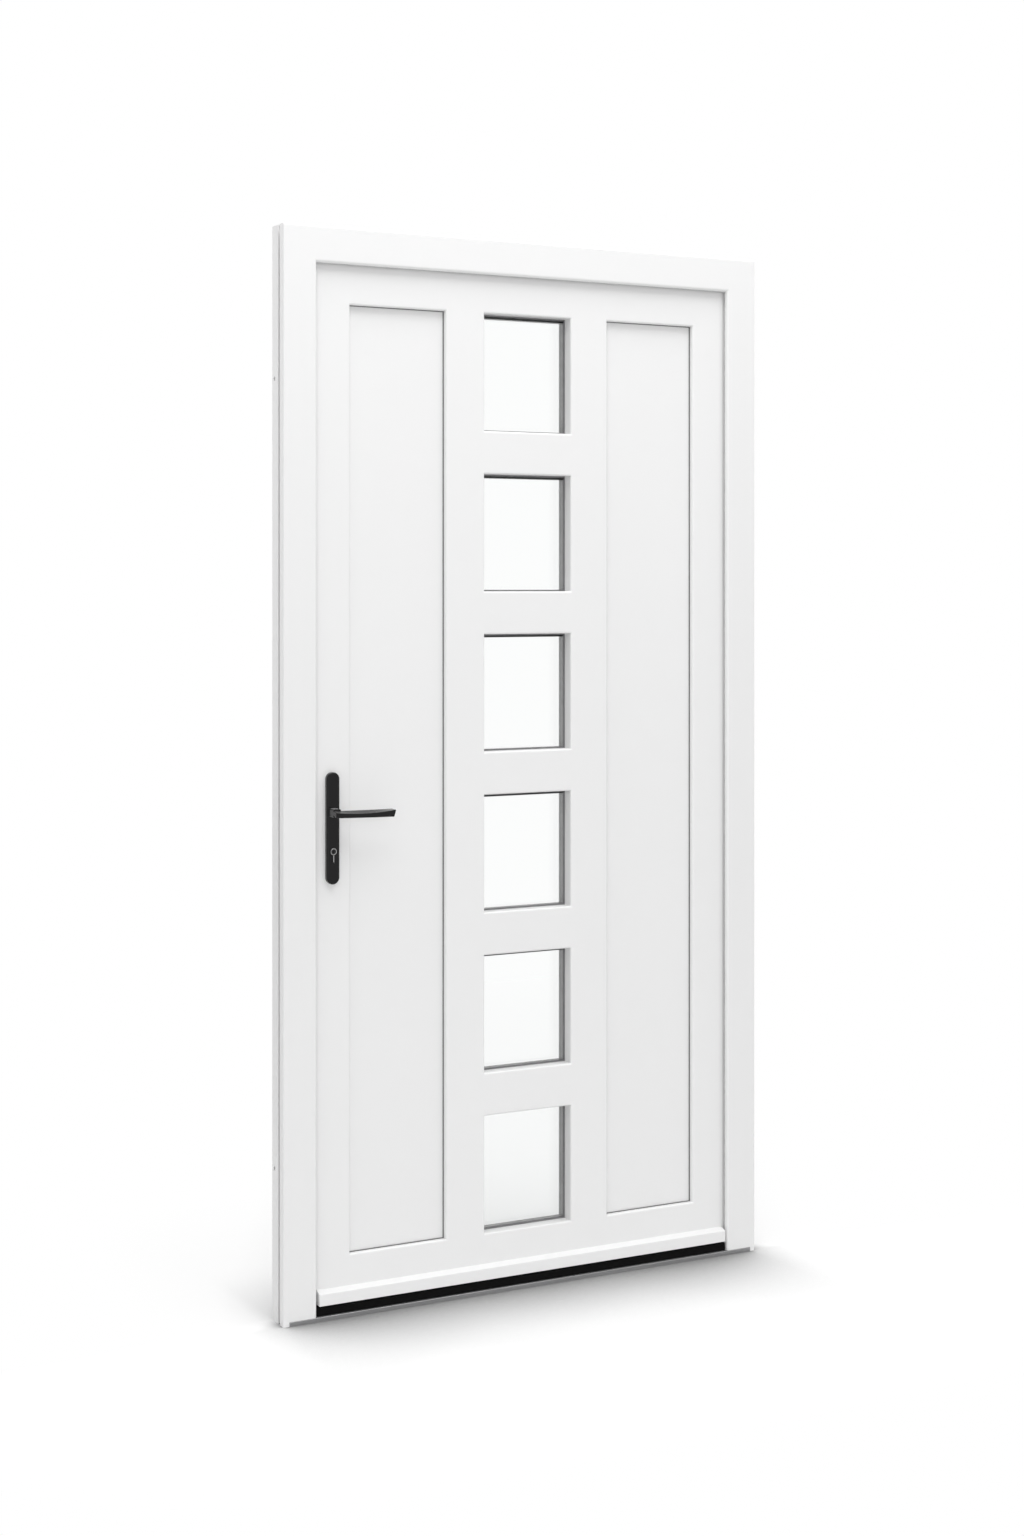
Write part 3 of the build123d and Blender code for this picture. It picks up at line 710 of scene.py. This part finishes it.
class DOOR_OT_bar_caps(bpy.types.Operator):
    """Moulded caps on the ends of the weather bar"""

    bl_idname = "door.bar_caps"
    bl_label = "Cap the weather bar"

    def execute(self, context):
        thick = context.scene.door_fittings.bar_cap
        low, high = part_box("weather_bar")
        outline = [(high.y, low.z), (high.y, high.z), (low.y, low.z + BAR_FRONT_H), (low.y, low.z)]
        bm = bmesh.new()
        for x, out in ((low.x, -1), (high.x, 1)):
            face = bm.faces.new([bm.verts.new((x, y, z)) for y, z in outline])
            grown = bmesh.ops.extrude_face_region(bm, geom=[face], use_keep_orig=True)["geom"]
            outer = [part for part in grown if isinstance(part, bmesh.types.BMVert)]
            bmesh.ops.translate(bm, verts=outer, vec=(out * thick, 0, 0))
            rim = [part for part in grown if isinstance(part, bmesh.types.BMEdge)]
            bmesh.ops.bevel(bm, geom=rim, offset=0.5 * thick, segments=3, profile=0.5, affect="EDGES",
                            material=-1)
        piece("weather_bar_caps", bm, "leaf", "leaf_white")
        return {"FINISHED"}


def soft_light(name, place, target, size, power):
    """A soft light, itself out of sight, turned towards a point."""
    lamp = bpy.data.lights.new(name, "AREA")
    lamp.shape = "RECTANGLE"
    lamp.size, lamp.size_y = size
    lamp.energy = power
    made = bpy.data.objects.new(name, lamp)
    made.location = place
    made.rotation_euler = (Vector(target) - Vector(place)).to_track_quat("-Z", "Y").to_euler()
    made.visible_camera = False
    made.visible_transmission = False
    bpy.context.scene.collection.objects.link(made)


def seen_plainly(g):
    """1 for rays from the camera, or through and off glass and metal, else 0."""
    path = g.node("ShaderNodeLightPath")
    camera, glossy, through = (Field(g, path.outputs[n]) for n in
                               ("Is Camera Ray", "Is Glossy Ray", "Is Transmission Ray"))
    return (camera + glossy + through).at_most(1.0)


def floor_paint(shadow_reach):
    """White floor with a painted soft shadow close under the door, melting into the background."""
    made, g = material("studio_floor")
    x, y = g.axes()[:2]
    in_front = ((FRONT_LINE - y) / FRONT_FADE).at_least(0.0).at_most(1.0)
    behind = 1.0 - in_front
    beside = (abs(x) - CAD_BOX[1].x).at_least(0.0) * (1.0 + BEHIND_SQUEEZE * behind)
    away = g.field("ShaderNodeMath", {"operation": "SQRT"}, {0: beside * beside + y * y})
    near = ((away - NEAR_START) / NEAR_FADE).at_least(0.0).at_most(1.0)
    far = ((away - FAR_START) / FAR_FADE).at_least(0.0).at_most(1.0)
    within_ends = (1.0 - beside / END_FADE).at_least(0.0)
    # Partly painted shadow: a band shaped like the front light's shadow behind the door loses part of its
    # glow, so the real shade of the matt floor shows there
    off_cast = (abs(x - CAST_LEAN * y) - CAD_BOX[1].x + CAST_IN).at_least(0.0)
    cast = (1.0 - off_cast / CAST_FADE).at_least(0.0) * (1.0 - y / CAST_LENGTH).at_least(0.0) * behind
    # Painted shadow: for plainly seen rays the floor's colour darkens near the door by ambient occlusion,
    # more in front than behind
    open_sky = g.field("ShaderNodeAmbientOcclusion", {"samples": SHADE_SAMPLES},
                       {"Distance": shadow_reach}, "AO")
    seen = seen_plainly(g)
    painted_shade_depth = PAINTED_SHADE_BEHIND + PAINTED_SHADE_IN_FRONT * in_front
    painted_shade_here = (painted_shade_depth * within_ends * (1.0 - open_sky)).at_most(1.0)
    melted = NEAR_SHARE * near + (1.0 - NEAR_SHARE) * far
    glow_here = melted * (1.0 - CAST_DEPTH * cast.at_most(1.0))
    bright = (FLOOR_BOUNCE + (1.0 - FLOOR_BOUNCE) * seen) * (1.0 - seen * painted_shade_here)
    white = g.mix(bright, (0, 0, 0, 1), (1, 1, 1, 1))
    matt = g.node("ShaderNodeBsdfDiffuse", sockets={"Color": white})
    glow = g.node("ShaderNodeEmission", sockets={"Color": white, "Strength": 1.0})
    blend = g.node("ShaderNodeMixShader", sockets={0: glow_here * seen})
    g.tree.links.new(matt.outputs[0], blend.inputs[1])
    g.tree.links.new(glow.outputs[0], blend.inputs[2])
    g.tree.links.new(blend.outputs[0], g.output.inputs["Surface"])
    return made


class DOOR_OT_stage(bpy.types.Operator):
    """Floor, soft light and camera"""

    bl_idname = "door.stage"
    bl_label = "Set the stage"

    def execute(self, context):
        scene = context.scene
        stage = scene.door_stage
        scene.view_settings.view_transform = "Standard"
        bm = bmesh.new()
        bmesh.ops.create_grid(bm, x_segments=FLOOR_CELLS, y_segments=FLOOR_CELLS, size=FLOOR_HALF)
        mesh = bpy.data.meshes.new("floor")
        bm.to_mesh(mesh)
        bm.free()
        mesh.materials.append(floor_paint(stage.shadow_reach))
        floor = bpy.data.objects.new("floor", mesh)
        scene.collection.objects.link(floor)
        scene.world = bpy.data.worlds.new("studio")
        g = Graph(scene.world, "ShaderNodeOutputWorld")
        strength = stage.sky_strength + (1.0 - stage.sky_strength) * seen_plainly(g)
        sky = g.node("ShaderNodeBackground", sockets={"Color": (1, 1, 1, 1), "Strength": strength})
        g.tree.links.new(sky.outputs[0], g.output.inputs["Surface"])
        soft_light("top_light", *TOP_LIGHT, stage.top_power)
        soft_light("front_light", *FRONT_LIGHT, stage.front_power)
        soft_light("back_light", *BACK_LIGHT, stage.back_power)
        camera = bpy.data.cameras.new("camera")
        camera.lens = stage.camera_lens
        camera.shift_y = stage.camera_drop
        made = bpy.data.objects.new("camera", camera)
        made.location = stage.camera_place
        made.rotation_euler = (math.radians(90), 0, -stage.camera_turn)
        scene.collection.objects.link(made)
        scene.camera = made
        return {"FINISHED"}


STEPS = (DOOR_OT_dress, DOOR_OT_screws, DOOR_OT_hinge_caps, DOOR_OT_bolts, DOOR_OT_cylinder_trim,
         DOOR_OT_bar_caps, DOOR_OT_stage)


class DOOR_PT_sidebar(bpy.types.Panel):
    """Sizes, colours and steps of the door"""

    bl_idname = "DOOR_PT_sidebar"
    bl_label = "Entrance door"
    bl_space_type = "VIEW_3D"
    bl_region_type = "UI"
    bl_category = "Door"

    def draw(self, context):
        for step in STEPS:
            self.layout.operator(step.bl_idname)
        scene = context.scene
        for group in (scene.door_colours, scene.door_fittings, scene.door_stage):
            box = self.layout.box()
            for name in group.__annotations__:
                box.prop(group, name)


CLASSES = (DoorColours, DoorFittings, DoorStage, *STEPS, DOOR_PT_sidebar)


def register():
    """Add the classes and their settings."""
    for cls in CLASSES:
        bpy.utils.register_class(cls)
    bpy.types.Scene.door_colours = bpy.props.PointerProperty(type=DoorColours)
    bpy.types.Scene.door_fittings = bpy.props.PointerProperty(type=DoorFittings)
    bpy.types.Scene.door_stage = bpy.props.PointerProperty(type=DoorStage)


def unregister():
    """Take the classes and their settings away."""
    del bpy.types.Scene.door_stage
    del bpy.types.Scene.door_fittings
    del bpy.types.Scene.door_colours
    for cls in reversed(CLASSES):
        bpy.utils.unregister_class(cls)


def main():
    """Run every step."""
    register()
    bpy.ops.door.dress()
    bpy.ops.door.screws()
    bpy.ops.door.hinge_caps()
    bpy.ops.door.bolts()
    bpy.ops.door.cylinder_trim()
    bpy.ops.door.bar_caps()
    bpy.ops.door.stage()


if __name__ == "__main__":
    main()
